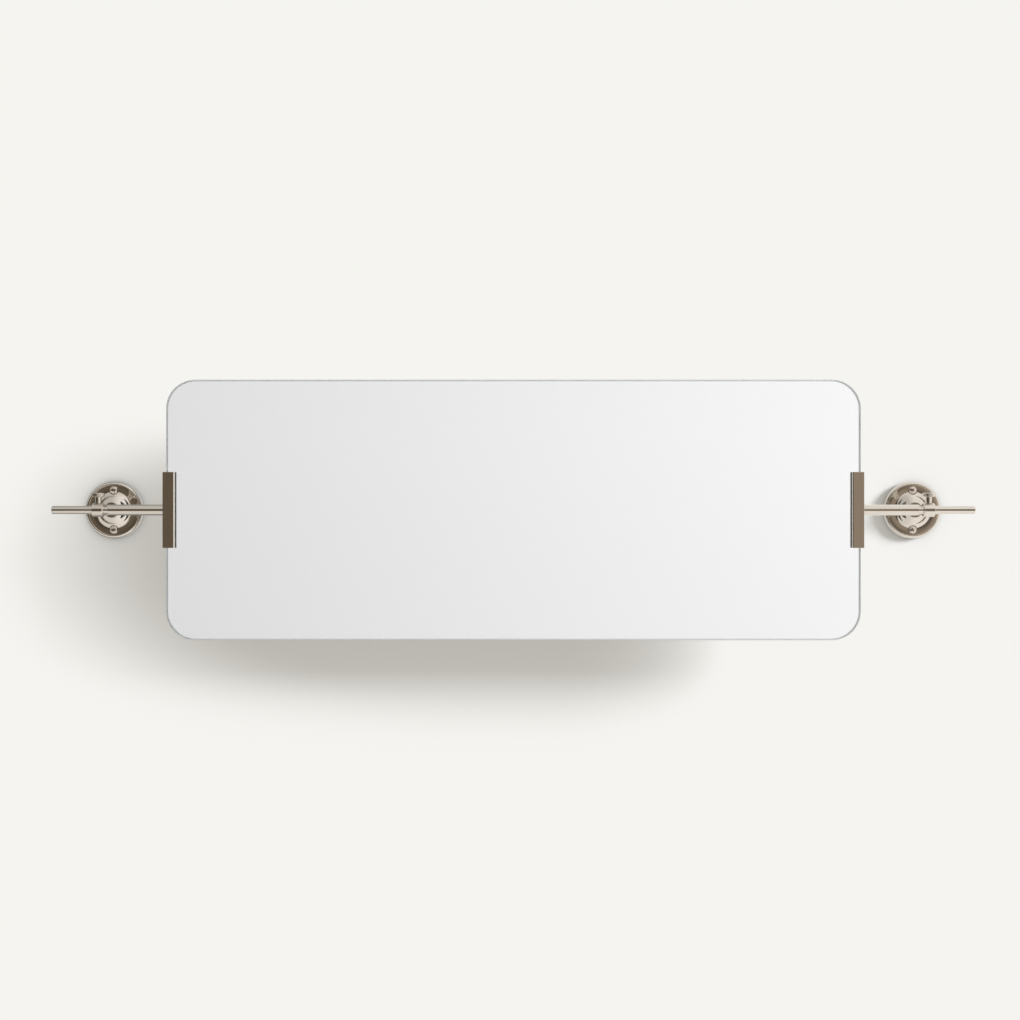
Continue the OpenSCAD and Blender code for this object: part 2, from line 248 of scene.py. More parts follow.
def useGroup(tree, group, **values):
    node = tree.nodes.new("ShaderNodeGroup")
    node.node_tree = group
    for label, value in values.items():
        node.inputs[label].default_value = value
    return node.outputs


def bumpFrom(tree, height, strength, distance):
    node = addNode(tree, "ShaderNodeBump", {"Height": height, "Strength": strength, "Distance": distance})
    return node.outputs["Normal"]


def noise(tree, spot, scale, detail):
    node = addNode(tree, "ShaderNodeTexNoise", {"Vector": spot, "Scale": scale, "Detail": detail})
    return node.outputs["Fac"]


def maths(tree, operation, *values, **settings):
    node = addNode(tree, "ShaderNodeMath", dict(enumerate(values)), operation=operation, **settings)
    return node.outputs[0]


def remapped(tree, value, span, ends=(0, 1), **settings):
    node = addNode(tree, "ShaderNodeMapRange", {
        "Value": value, "From Min": span[0], "From Max": span[1], "To Min": ends[0], "To Max": ends[1],
    }, **settings)
    return node.outputs["Result"]


def blended(tree, share, a, b, **settings):
    # sockets 0, 6 and 7 are the share and the two colours, and 2 is the colour that comes out
    node = addNode(tree, "ShaderNodeMix", {0: share, 6: a, 7: b}, data_type="RGBA", **settings)
    return node.outputs[2]


colourIn, numberIn = "NodeSocketColor", "NodeSocketFloat"
wipeStretch, bloomSpan, grainSpan = (0.12, 1, 1), (0.12, 0.42), (0.3, 0.7)

# Buffed metal: cloudy plating, fine wipe marks and a slightly duller bloom
buffed, given, made = newGroup(
    "buffedMetal",
    {"Clean": (colourIn, (0.8, 0.76, 0.7, 1)), "Toned": (colourIn, (0.7, 0.66, 0.6, 1)),
     "Cloud size": (numberIn, 60), "Smooth": (numberIn, 0.05), "Dull": (numberIn, 0.15),
     "Wipe size": (numberIn, 900)},
    {"Colour": colourIn, "Roughness": numberIn, "Height": numberIn},
)
spot = addNode(buffed, "ShaderNodeTexCoord").outputs["Object"]
cloud = noise(buffed, spot, given["Cloud size"], 4)
stretched = addNode(buffed, "ShaderNodeMapping", {"Vector": spot, "Scale": wipeStretch}).outputs["Vector"]
wipes = noise(buffed, stretched, given["Wipe size"], 2)
bloom = maths(buffed, "MULTIPLY", cloud, wipes)
dulled = remapped(buffed, bloom, bloomSpan, (given["Smooth"], given["Dull"]))
buffed.links.new(blended(buffed, cloud, given["Clean"], given["Toned"]), made["Colour"])
buffed.links.new(dulled, made["Roughness"])
buffed.links.new(wipes, made["Height"])

# Moulded or coated skin: mottled colour with a fine grain
skin, given, made = newGroup(
    "mouldedSkin",
    {"Light": (colourIn, (0.5, 0.5, 0.5, 1)), "Dark": (colourIn, (0.4, 0.4, 0.4, 1)),
     "Mottle size": (numberIn, 200), "Grain size": (numberIn, 4000),
     "Least rough": (numberIn, 0.5), "Most rough": (numberIn, 0.8)},
    {"Colour": colourIn, "Roughness": numberIn, "Height": numberIn},
)
spot = addNode(skin, "ShaderNodeTexCoord").outputs["Object"]
mottle = noise(skin, spot, given["Mottle size"], 5)
grain = noise(skin, spot, given["Grain size"], 2)
roughness = remapped(skin, grain, grainSpan, (given["Least rough"], given["Most rough"]))
skin.links.new(blended(skin, mottle, given["Light"], given["Dark"]), made["Colour"])
skin.links.new(roughness, made["Roughness"])
skin.links.new(grain, made["Height"])


def metal(name, clean, toned, cloudSize, smooth, dull, wipeSize, bump):
    material, tree, shader = newMaterial(name)
    look = useGroup(tree, buffed, **{
        "Clean": clean, "Toned": toned, "Cloud size": cloudSize,
        "Smooth": smooth, "Dull": dull, "Wipe size": wipeSize})
    shader.inputs["Metallic"].default_value = 1
    tree.links.new(look["Colour"], shader.inputs["Base Color"])
    tree.links.new(look["Roughness"], shader.inputs["Roughness"])
    tree.links.new(bumpFrom(tree, look["Height"], 1, bump), shader.inputs["Normal"])
    return material


def softSolid(name, light, dark, mottleSize, grainSize, leastRough, mostRough, bump):
    material, tree, shader = newMaterial(name)
    look = useGroup(tree, skin, **{
        "Light": light, "Dark": dark, "Mottle size": mottleSize, "Grain size": grainSize,
        "Least rough": leastRough, "Most rough": mostRough})
    tree.links.new(look["Colour"], shader.inputs["Base Color"])
    tree.links.new(look["Roughness"], shader.inputs["Roughness"])
    tree.links.new(bumpFrom(tree, look["Height"], 1, bump), shader.inputs["Normal"])
    return material


polishedNickel = metal(
    "polishedNickel", clean=(0.83, 0.785, 0.72, 1), toned=(0.76, 0.71, 0.645, 1),
    cloudSize=45, smooth=0.03, dull=0.09, wipeSize=700, bump=1e-6)
screwNickel = metal(
    "screwNickel", clean=(0.78, 0.72, 0.66, 1), toned=(0.66, 0.59, 0.53, 1),
    cloudSize=160, smooth=0.1, dull=0.24, wipeSize=1500, bump=2e-6)
zincPlate = metal(
    "zincPlate", clean=(0.62, 0.62, 0.62, 1), toned=(0.46, 0.47, 0.48, 1),
    cloudSize=350, smooth=0.24, dull=0.42, wipeSize=2500, bump=5e-6)
linerRubber = softSolid(
    "linerRubber", light=(0.145, 0.142, 0.137, 1), dark=(0.11, 0.108, 0.105, 1),
    mottleSize=300, grainSize=5000, leastRough=0.55, mostRough=0.8, bump=2e-5)
turnedNylon = softSolid(
    "turnedNylon", light=(0.87, 0.86, 0.81, 1), dark=(0.80, 0.785, 0.72, 1),
    mottleSize=400, grainSize=6000, leastRough=0.35, mostRough=0.55, bump=5e-6)


glassIndex = 1.52


def glassMaterial():
    material, tree, shader = newMaterial("floatGlass")
    spot = addNode(tree, "ShaderNodeTexCoord").outputs["Object"]
    tint = blended(tree, noise(tree, spot, 6, 2), (0.976, 0.984, 0.981, 1), (0.98, 0.986, 0.984, 1))
    tree.links.new(tint, shader.inputs["Base Color"])
    shader.inputs["Roughness"].default_value = 0
    shader.inputs["IOR"].default_value = glassIndex
    shader.inputs["Transmission Weight"].default_value = 1
    return material


def groundGlassMaterial():
    material = softSolid(
        "groundGlass", light=(0.76, 0.81, 0.79, 1), dark=(0.66, 0.72, 0.70, 1),
        mottleSize=500, grainSize=7000, leastRough=0.28, mostRough=0.5, bump=4e-6)
    shader = material.node_tree.nodes["Principled BSDF"]
    shader.inputs["IOR"].default_value = glassIndex
    shader.inputs["Transmission Weight"].default_value = 1
    return material


def silverMaterial():
    material, tree, shader = newMaterial("mirrorSilver")
    spot = addNode(tree, "ShaderNodeTexCoord").outputs["Object"]
    tint = blended(tree, noise(tree, spot, 3, 2), (0.945, 0.95, 0.95, 1), (0.935, 0.945, 0.945, 1))
    tree.links.new(tint, shader.inputs["Base Color"])
    shader.inputs["Metallic"].default_value = 1
    shader.inputs["Roughness"].default_value = 0
    return material


scrim = {
    "turns": (45, -45), "threads": 90, "wander": 0.6, "detail": 1, "span": (0.86, 0.99),
    "colour": (0.075, 0.075, 0.078, 1), "bump": 0.6, "depth": 3e-5,
}


def backingMaterial():
    # Black safety film: a fine crossed scrim shows through it
    material, tree, shader = newMaterial("safetyFilm")
    spot = addNode(tree, "ShaderNodeTexCoord").outputs["Object"]
    layers = []
    for turn in scrim["turns"]:
        turnedSpot = addNode(tree, "ShaderNodeMapping", {
            "Vector": spot, "Rotation": (0, math.radians(turn), 0)}).outputs["Vector"]
        threads = addNode(tree, "ShaderNodeTexWave", {
            "Vector": turnedSpot, "Scale": scrim["threads"], "Distortion": scrim["wander"],
            "Detail": scrim["detail"]})
        layers.append(remapped(tree, threads.outputs["Fac"], scrim["span"]))
    crossed = maths(tree, "MAXIMUM", *layers)
    look = useGroup(tree, skin, **{
        "Light": (0.045, 0.045, 0.048, 1), "Dark": (0.028, 0.028, 0.03, 1), "Mottle size": 18.0,
        "Grain size": 1800.0, "Least rough": 0.42, "Most rough": 0.6})
    colour = blended(tree, crossed, look["Colour"], scrim["colour"])
    tree.links.new(colour, shader.inputs["Base Color"])
    tree.links.new(look["Roughness"], shader.inputs["Roughness"])
    tree.links.new(bumpFrom(tree, crossed, scrim["bump"], scrim["depth"]), shader.inputs["Normal"])
    return material


floatGlass = glassMaterial()
groundGlass = groundGlassMaterial()
mirrorSilver = silverMaterial()
safetyFilm = backingMaterial()
print("materials made")


# ---- measures taken from the frame

def measures(side):
    def box(node):
        low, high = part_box(f"{side}_{node}")
        if sides[side] < 0:
            low.x, high.x = -high.x, -low.x
        return low, high

    size = {}
    low, high = box("wall_plate")
    size["plateX"] = (low.x + high.x) / 2
    size["plateR"], size["hubH"] = (high.z - low.z) / 2, -low.y
    low, high = box("collar")
    size["axisH"] = -(low.y + high.y) / 2
    size["collarX0"], size["collarX1"], size["collarR"] = low.x, high.x, (high.z - low.z) / 2
    low, high = box("pivot_rod")
    size["rodX0"], size["rodX1"], size["rodR"] = low.x, high.x, (high.z - low.z) / 2
    low, high = box("sleeve")
    size["sleeveX0"], size["sleeveX1"], size["sleeveR"] = low.x, high.x, (high.y - low.y) / 2
    low, high = box("post")
    size["postR"], size["postH"] = (high.x - low.x) / 2, -high.y
    low, high = box("thumb_screw")
    size["thumbR"], size["thumbZ0"], size["thumbZ1"] = (high.x - low.x) / 2, low.z, high.z
    low, high = box("clip")
    size["clipX0"], size["clipX1"], size["clipZ"] = low.x, high.x, high.z
    size["clipH0"], size["clipH1"] = -high.y, -low.y
    low, high = box("clip_liner")
    size["linerX0"], size["channelX"] = low.x, high.x
    size["channelH0"], size["channelH1"] = -high.y, -low.y
    low, high = box("grub_screws")
    size["grubX"], size["grubR"], size["grubZ"] = (low.x + high.x) / 2, (high.x - low.x) / 2, high.z
    size["grubH0"], size["grubH1"] = -high.y, -low.y
    low, high = box("wall_screws")
    size["screwR"], size["screwTipH"], size["screwTopH"] = (high.x - low.x) / 2, -high.y, -low.y
    size["screwZ"] = high.z - size["screwR"]
    low, high = box("post_screw")
    size["postScrewR"], size["postScrewH0"], size["postScrewH1"] = (high.x - low.x) / 2, -high.y, -low.y
    return size


# Three ways to stand a turned shape: along the rods, off the wall, or upright
def alongRod(side, height):
    return lambda across, up, along: Vector((sides[side] * along, -height - across, up))


def offWall(side, x, z=0):
    return lambda across, up, along: Vector((sides[side] * (x + across), -along, z + up))


def upright(side, x, height, z=0):
    return lambda across, up, along: Vector((sides[side] * (x + across), -height - up, z + along))


# ---- mirror pane

pane = {
    "cornerR": 34 * mm, "cornerSteps": 24,
    "seam": 1.2 * mm, "arris": 0.15 * mm,   # ground bevel and the easing of its two edges
    "airGap": 0.04 * mm,                    # the drawn glass stops just short of the silver
}


def makePane():
    low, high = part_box("mirror_glass")
    front, back = low.y, high.y - pane["airGap"]
    seam, arris = pane["seam"], pane["arris"]
    # inset from the outline and depth, from the front face round the edge to the back face
    rim = eased([
        (seam + arris, front), (seam, front, arris / 2), (0, front + seam, arris),
        (0, back - seam, arris), (seam, back, arris / 2), (seam + arris, back),
    ], degreesPerPoint=20)
    bm = bmesh.new()
    rings = []
    for inset, depth in rim:
        radius = pane["cornerR"] - inset
        ring = []
        for quarter in range(4):
            signX, signZ = ((1, 1), (-1, 1), (-1, -1), (1, -1))[quarter]
            middleX = signX * (high.x - pane["cornerR"])
            middleZ = signZ * (high.z - pane["cornerR"])
            for k in range(pane["cornerSteps"] + 1):
                angle = math.radians(90 * quarter + 90 * k / pane["cornerSteps"])
                ring.append(bm.verts.new((
                    middleX + radius * math.cos(angle), depth, middleZ + radius * math.sin(angle))))
        rings.append(ring)
    joinRings(bm, rings)
    bm.faces.new(rings[0])
    bm.faces.new(rings[-1])
    piece = meshFrom(bm, "mirrorPane", floatGlass, sharpAbove=40)
    piece.data.materials.append(groundGlass)
    for face in piece.data.polygons:
        if len(face.vertices) > 4:
            face.use_smooth = False
        else:
            face.material_index = 1
    fit(piece, "mirror", "glass", "mirror_glass")


# ---- clips, liners and grub screws

clip = {
    "webEdgeR": 0.3 * mm, "legEdgeR": 1.2 * mm, "innerR": 0.2 * mm,   # rounding of the long edges
    "endEase": [(0, 0.35), (0.1, 0.12), (0.35, 0)],   # how the ends are eased, in mm
    "linerEdge": 0.22 * mm, "linerT": 0.6 * mm, "linerShort": 0.1 * mm,
    "holeEase": 0.35 * mm, "holeGap": 0.05 * mm, "holeSteps": 32,
}


def upTheClip(side):
    return lambda x, height, z: Vector((sides[side] * x, -height, z))


def easedStations(half):
    near = [(-half + along * mm, inset * mm) for along, inset in clip["endEase"]]
    return near + [(-along, inset) for along, inset in reversed(near)]


def makeClip(side, size):
    x0, x1, h0, h1 = size["clipX0"], size["clipX1"], size["clipH0"], size["clipH1"]
    mouth0, mouth1, channelX = size["channelH0"], size["channelH1"], size["channelX"]
    web, leg, inner = clip["webEdgeR"], clip["legEdgeR"], clip["innerR"]
    outline = eased([
        (x0, h0, leg), (x1, h0, web), (x1, h1, web), (x0, h1, leg),
        (x0, mouth1, inner), (channelX, mouth1), (channelX, mouth0), (x0, mouth0, inner),
    ], closed=True)
    bm = bmesh.new()
    prism(bm, outline, upTheClip(side), easedStations(size["clipZ"]))
    piece = meshFrom(bm, side + "ChannelClip", polishedNickel)
    radius, ease = size["grubR"] + clip["holeGap"], clip["holeEase"]
    hole = [(0, h0 - ease), (radius + 2 * ease, h0 - ease), (radius, h0 + ease), (radius, mouth0 + ease),
            (0, mouth0 + ease)]
    for sign in (-1, 1):
        z = sign * (size["grubZ"] - size["grubR"])
        bm = bmesh.new()
        turned(bm, hole, offWall(side, size["grubX"], z), clip["holeSteps"])
        cutAway(piece, meshFrom(bm, "cutter", polishedNickel))
    fit(piece, "mirror", "polished_nickel", side + "_clip")


def makeLiner(side, size):
    x0, channelX = size["linerX0"], size["channelX"]
    h0, h1 = size["channelH0"], size["channelH1"]
    thick, edge = clip["linerT"], clip["linerEdge"]
    outline = eased([
        (x0, h0, edge), (channelX, h0, edge), (channelX, h1, edge), (x0, h1, edge),
        (x0, h1 - thick, edge), (channelX - thick, h1 - thick), (channelX - thick, h0 + thick),
        (x0, h0 + thick, edge),
    ], closed=True)
    bm = bmesh.new()
    prism(bm, outline, upTheClip(side), easedStations(size["clipZ"] - clip["linerShort"]))
    piece = meshFrom(bm, side + "ClipLiner", linerRubber)
    fit(piece, "mirror", "liner_rubber", side + "_clip_liner")


grub = {
    "ease": 0.3 * mm, "steps": 48,
    "socket": 1 * mm, "mouthR": 1.15 * mm,      # half the hexagon across its flats, and its round mouth
    "wellFrom": 0.15 * mm, "wellTo": 1.6 * mm, "wellTip": 2 * mm,
}


def makeGrubScrews(side, size):
    bm = bmesh.new()
    radius, h0, h1 = size["grubR"], size["grubH0"], size["grubH1"]
    ease, steps, mouthR = grub["ease"], grub["steps"], grub["mouthR"]
    angles = [2 * math.pi * k / steps for k in range(steps)]
    for sign in (-1, 1):
        place = offWall(side, size["grubX"], sign * (size["grubZ"] - radius))
        outline = eased([(0, h1), (radius - ease, h1), (radius, h1 - ease), (radius, h0 + ease),
                         (radius - ease, h0), (mouthR, h0)])
        turned(bm, outline, place, steps)
        # the hexagon socket: a six-sided well whose rim is joined to the round mouth
        well = [[bm.verts.new(place(mouthR * math.cos(a), mouthR * math.sin(a), h0)) for a in angles]]
        for depth in (grub["wellFrom"], grub["wellTo"]):
            ring = []
            for angle in angles:
                flat = grub["socket"] / math.cos((angle % (math.pi / 3)) - math.pi / 6)
                ring.append(bm.verts.new(place(flat * math.cos(angle), flat * math.sin(angle), h0 + depth)))
            well.append(ring)
        joinRings(bm, well + [[bm.verts.new(place(0, 0, h0 + grub["wellTip"]))]])
    piece = meshFrom(bm, side + "GrubScrewPair", zincPlate)
    fit(piece, "mirror", "plain_steel", side + "_grub_screws")


# ---- rods, sleeves, collars and posts

rod = {
    "threadR": 3 * mm, "tipR": 0.9 * mm, "tipCrown": 0.15 * mm, "tipFlat": 0.3,   # the last, of its radius
    "sleeveLip": 0.35 * mm, "sleeveEdge": 0.1 * mm, "sleeveBoreGap": 0.05 * mm, "steps": 96,
}


def makeRod(side, size):
    radius, x0, x1, tip = size["rodR"], size["rodX0"], size["rodX1"], rod["tipR"]
    threadR = rod["threadR"]
    outline = eased([
        (0, x0), (threadR, x0), (threadR, size["clipX1"]), (radius, size["clipX1"]),
        (radius, x1 - rod["tipCrown"], tip), (rod["tipFlat"] * radius, x1), (0, x1),
    ], degreesPerPoint=8)
    bm = bmesh.new()
    turned(bm, outline, alongRod(side, size["axisH"]), rod["steps"])
    piece = meshFrom(bm, side + "PivotRod", polishedNickel)
    fit(piece, "mirror", "polished_nickel", side + "_pivot_rod")


def makeSleeve(side, size):
    x0, x1, radius = size["sleeveX0"], size["sleeveX1"], size["sleeveR"]
    bore, lip, edge = size["rodR"] + rod["sleeveBoreGap"], rod["sleeveLip"], rod["sleeveEdge"]
    outline = eased([(radius, x0, edge), (radius, x1, lip), (bore, x1, lip), (bore, x0, edge)], closed=True)
    bm = bmesh.new()
    turned(bm, outline, alongRod(side, size["axisH"]), rod["steps"], closed=True)
    piece = meshFrom(bm, side + "SleeveTube", polishedNickel)
    fit(piece, "mirror", "polished_nickel", side + "_sleeve")


collar = {
    "bevel": 0.6 * mm, "bevelEase": 0.2 * mm, "boreGap": 0.08 * mm, "boreEase": 0.3 * mm,
    "tapR": 3.03 * mm, "tapEase": 0.3 * mm, "steps": 128, "tapSteps": 48,
}


def makeCollar(side, size):
    x0, x1, radius = size["collarX0"], size["collarX1"], size["collarR"]
    bevel, ease, lip = collar["bevel"], collar["bevelEase"], collar["boreEase"]
    bore = size["rodR"] + collar["boreGap"]
    outline = eased([
        (radius, x0 + bevel, ease), (radius, x1 - bevel, ease), (radius - bevel, x1, ease),
        (bore + lip, x1, ease / 2), (bore, x1 - lip, ease / 2), (bore, x0 + lip, ease / 2),
        (bore + lip, x0, ease / 2), (radius - bevel, x0, ease),
    ], closed=True)
    bm = bmesh.new()
    turned(bm, outline, alongRod(side, size["axisH"]), collar["steps"], closed=True)
    piece = meshFrom(bm, side + "RodCollar", polishedNickel)
    tapR, lip, tapFrom = collar["tapR"], collar["tapEase"], size["rodR"] / 2
    hole = [(0, tapFrom), (tapR, tapFrom), (tapR, radius - lip), (tapR + 2 * lip, radius + lip),
            (0, radius + lip)]
    bm = bmesh.new()
    turned(bm, hole, upright(side, size["plateX"], size["axisH"]), collar["tapSteps"])
    cutAway(piece, meshFrom(bm, "cutter", polishedNickel))
    fit(piece, "wall_mounts", "polished_nickel", side + "_collar")


# ---- threads

machineThread = [(0, 0), (0.12, 0), (0.45, 1), (0.55, 1), (0.88, 0), (1, 0)]
woodThread = [(0, 0), (0.3, 0), (0.44, 0.45), (0.5, 1), (0.56, 0.45), (0.7, 0), (1, 0)]
# a thread fades in 0.6 of a pitch, and at a screw's point 0.4 of its depth is left
threadRunOut, tipDepth = 0.6, 0.4


def threaded(bm, place, rootR, depth, pitch, fromAlong, toAlong, steps, profile, taper=0):
    # a helical strip, cut square at both ends; profile is (share of the pitch, share of the depth)
    way, runOut = 1 if toAlong > fromAlong else -1, threadRunOut * pitch
    length = abs(toAlong - fromAlong)
    turns = math.ceil(length / pitch) + 1
    rows = []
    for k in range(turns * steps + 1):
        angle, row = 2 * math.pi * (k % steps) / steps, []
        for share, rise in profile:
            travel = min(max((k / steps + share - 1) * pitch, 0), length)
            narrow = min(1, (length - travel) / taper) if taper else 1
            fade = max(min(1, travel / runOut, (length - travel) / runOut), 0)
            radius = rootR * narrow + depth * rise * fade * (tipDepth + (1 - tipDepth) * narrow)
            row.append(bm.verts.new(place(
                radius * math.cos(angle), radius * math.sin(angle), fromAlong + way * travel)))
        rows.append(row)
    for a, b in zip(rows, rows[1:]):
        for m in range(len(profile) - 1):
            bm.faces.new((a[m], a[m + 1], b[m + 1], b[m]))
    bmesh.ops.remove_doubles(bm, verts=bm.verts, dist=2e-7)


def closeHoles(bm):
    rims = [e for e in bm.edges if len(e.link_faces) == 1]
    if rims:
        bmesh.ops.holes_fill(bm, edges=rims, sides=0)


# ---- thumb screws

thumb = {
    "neckR": 3.75 * mm, "headT": 4.6 * mm, "shankR": 2.95 * mm, "shankH": 2.1 * mm,
    "threadDepth": 0.5 * mm, "pitch": 1 * mm, "threadSteps": 48,
    "footEase": 0.3 * mm, "neckEase": 0.5 * mm, "bevel": 0.5 * mm, "ease": 0.15 * mm,
    "ridges": 56, "knurlDepth": 0.16 * mm, "knurlFrom": 0.9 * mm, "plainTo": 0.8 * mm,
    "dishR": 4.6 * mm, "dishDepth": 0.25 * mm,
}


def makeThumbScrew(side, size):
    top, headR, bevel, ease = size["thumbZ1"], size["thumbR"], thumb["bevel"], thumb["ease"]
    headBottom, neckBottom = top - thumb["headT"], size["thumbZ0"] + thumb["shankH"]
    neckR, dishR, dishDepth, plainTo = thumb["neckR"], thumb["dishR"], thumb["dishDepth"], thumb["plainTo"]
    steps = 4 * thumb["ridges"]
    smooth = eased([
        (0, neckBottom), (neckR, neckBottom, thumb["footEase"]), (neckR, headBottom, thumb["neckEase"]),
        (headR - bevel, headBottom, ease), (headR, headBottom + bevel, ease),
    ])
    knurled = [(headR, headBottom + thumb["knurlFrom"]), (headR, top - thumb["knurlFrom"])]
    above = eased([
        (headR, top - plainTo), (headR, top - bevel, ease), (headR - bevel, top, ease),
        (dishR, top, ease), (dishR - dishDepth, top - dishDepth, ease), (0, top - dishDepth),
    ])
    start = len(smooth)
    outline = smooth + [(headR, headBottom + plainTo)] + knurled + above

    def ripple(row, k):
        # one ridge in four steps, on the two knurled rows only
        if row in (start + 1, start + 2):
            return thumb["knurlDepth"] * (0, 0.5, 1, 0.5)[k % 4]
        return 0

    bm = bmesh.new()
    place = upright(side, size["plateX"], size["axisH"])
    turned(bm, outline, place, steps, ripple=ripple)
    depth = thumb["threadDepth"]
    threaded(bm, place, thumb["shankR"] - depth, depth, thumb["pitch"], neckBottom, size["thumbZ0"],
             thumb["threadSteps"], machineThread)
    closeHoles(bm)
    piece = meshFrom(bm, side + "ThumbScrew", polishedNickel)
    fit(piece, side + "_thumb", "polished_nickel", side + "_thumb_screw")


# ---- wall plates

plate = {
    "crestIn": 3.4 * mm, "rimH": 7 * mm,        # the rim's crest: inside the edge, and above the wall
    "lipR": 0.3 * mm, "lipSteps": 8, "rimFrom": 84, "rimSteps": 14, "wallFillet": 0.3 * mm,
    "troughH": 4.4 * mm, "sag": 0.1 * mm,
    "domeR": 22.3 * mm, "step": 0.6 * mm, "stepEase": 0.15 * mm,
    "ballR": 22.6 * mm, "slope": math.radians(46), "coveR": 10 * mm, "coveStart": 17.3 * mm,
    "hubR": 9.5 * mm, "hubBevel": 0.4 * mm, "hubEase": 0.15 * mm, "hubFillet": 0.5 * mm,
    "hubFoot": 3 * mm, "domeLead": 0.1 * mm,
    "seatR": 31 * mm, "hollow": 1.2 * mm, "hollowEase": 0.4 * mm, "skirtR": 12 * mm, "backEase": 0.2 * mm,
    "headWellR": 5.6 * mm, "headWellH": 7 * mm, "screwHoleR": 3.4 * mm, "gap": 0.05 * mm,
    "screwSeatR": 5.8 * mm, "screwRimH": 4.8 * mm, "screwNeckR": 2.5 * mm, "cutBelow": 2 * mm,
    "steps": 192, "seatSteps": 72, "domeSteps": 30, "sagSteps": 8, "sharpAbove": 38,
}


def domeHeight(r):
    # a ball round the hub, then a short straight slope, then a cove down to the foot
    slope, ballR, coveR, coveStart = plate["slope"], plate["ballR"], plate["coveR"], plate["coveStart"]
    coveX = coveStart + coveR * math.sin(slope)
    coveH = plate["troughH"] + plate["step"] + math.sqrt(coveR ** 2 - (coveX - plate["domeR"]) ** 2)
    if r > coveStart:
        return coveH - math.sqrt(coveR ** 2 - (coveX - r) ** 2)
    ballEdge = ballR * math.sin(slope)
    straight = coveH - coveR * math.cos(slope) + (coveStart - max(r, ballEdge)) * math.tan(slope)
    if r > ballEdge:
        return straight
    return straight - ballR * math.cos(slope) + math.sqrt(ballR ** 2 - r * r)


def plateOutline(size):
    hubH, plateR, postR = size["hubH"], size["plateR"], size["postR"]
    hubR, bevel, domeR, troughH = plate["hubR"], plate["hubBevel"], plate["domeR"], plate["troughH"]
    crestR, lipR = plateR - plate["crestIn"], plate["lipR"]
    ease, backEase, footR = plate["hubEase"], plate["backEase"], hubR + plate["hubFoot"]
    hub = eased([
        (postR, size["postH"]), (postR + plate["gap"], hubH, ease), (hubR - bevel, hubH, ease),
        (hubR, hubH - bevel, ease), (hubR, domeHeight(hubR), plate["hubFillet"]),
        (footR, domeHeight(footR)),
    ])[:-1]
    domeStart, count = hub[-1][0] + plate["domeLead"], plate["domeSteps"]
    dome = [(r, domeHeight(r)) for r in [domeStart + (domeR - domeStart) * k / count for k in range(count)]]
    half, count = (crestR - lipR - domeR) / 2, plate["sagSteps"]
    trough = [(domeR + half + half * t, troughH - plate["sag"] * (1 - t * t))
              for t in [k / count for k in range(1 - count, count)]]
    step = eased([dome[-1], (domeR, domeHeight(domeR), plate["stepEase"]),
                  (domeR, troughH, plate["stepEase"]), trough[0]])[1:-1]
    wall = eased([trough[-1], (crestR - lipR, troughH, plate["wallFillet"]),
                  (crestR - lipR, plate["rimH"] - lipR)])[1:-1]
    lip = arc(crestR, plate["rimH"] - lipR, lipR, 180, 90, plate["lipSteps"])
    rimR = plate["crestIn"]
    rim = arc(crestR, plate["rimH"] - rimR, rimR, plate["rimFrom"], 0, plate["rimSteps"])
    back = eased([
        rim[-1], (plateR, 0, backEase), (plate["seatR"], 0, backEase),
        (plate["seatR"], plate["hollow"], plate["hollowEase"]),
        (plate["skirtR"], plate["hollow"], plate["hollowEase"]),
        (plate["skirtR"], 0, backEase), (plate["headWellR"], 0, backEase),
        (plate["headWellR"], plate["headWellH"]), (plate["screwHoleR"], plate["headWellH"]),
        (plate["screwHoleR"], size["postH"]),
    ])[1:]
    return hub + dome + step + trough + wall + lip + rim + back


def makeWallPlate(side, size):
    bm = bmesh.new()
    turned(bm, plateOutline(size), offWall(side, size["plateX"]), plate["steps"], closed=True)
    piece = meshFrom(bm, side + "TurnedPlate", polishedNickel, plate["sharpAbove"])
    headR, neckR = size["screwR"] + plate["gap"], plate["screwNeckR"] + plate["gap"]
    rimH, troughH, seatR, below = plate["screwRimH"], plate["troughH"], plate["screwSeatR"], plate["cutBelow"]
    # a cone for the screw's head, and above it a flat seat sunk in the dome's foot
    mouthR = headR + troughH - rimH
    seat = [(0, -below), (neckR, -below), (neckR, rimH - headR + neckR), (mouthR, troughH),
            (seatR, troughH), (seatR, size["hubH"]), (0, size["hubH"])]
    for sign in (-1, 1):
        bm = bmesh.new()
        turned(bm, seat, offWall(side, size["plateX"], sign * size["screwZ"]), plate["seatSteps"])
        cutAway(piece, meshFrom(bm, "cutter", polishedNickel), plate["sharpAbove"])
    fit(piece, "wall_mounts", "polished_nickel", side + "_wall_plate")


# ---- wall screws and post screws

wallScrew = {
    "shankR": 2.4 * mm, "plainH": -9 * mm, "flareH": 0.8 * mm, "threadDepth": 0.75 * mm, "pitch": 2.2 * mm,
    "crownOver": 0.05 * mm, "rimEase": 0.15 * mm, "neckEase": 0.4 * mm, "pointL": 4.5 * mm,
    "steps": 48, "crownSteps": 14, "crownShare": 0.98,
    "turns": {-1: 20, 1: -33},      # how far the lower and the upper screw's cross is turned, in degrees
}
recess = {
    "reach": 2.65 * mm, "slot": 1.05 * mm, "depth": 2.5 * mm,
    "foot": 0.35, "above": 1.35, "slotFoot": 0.75, "rootCut": 1.25,    # shares of the reach and the slot
}


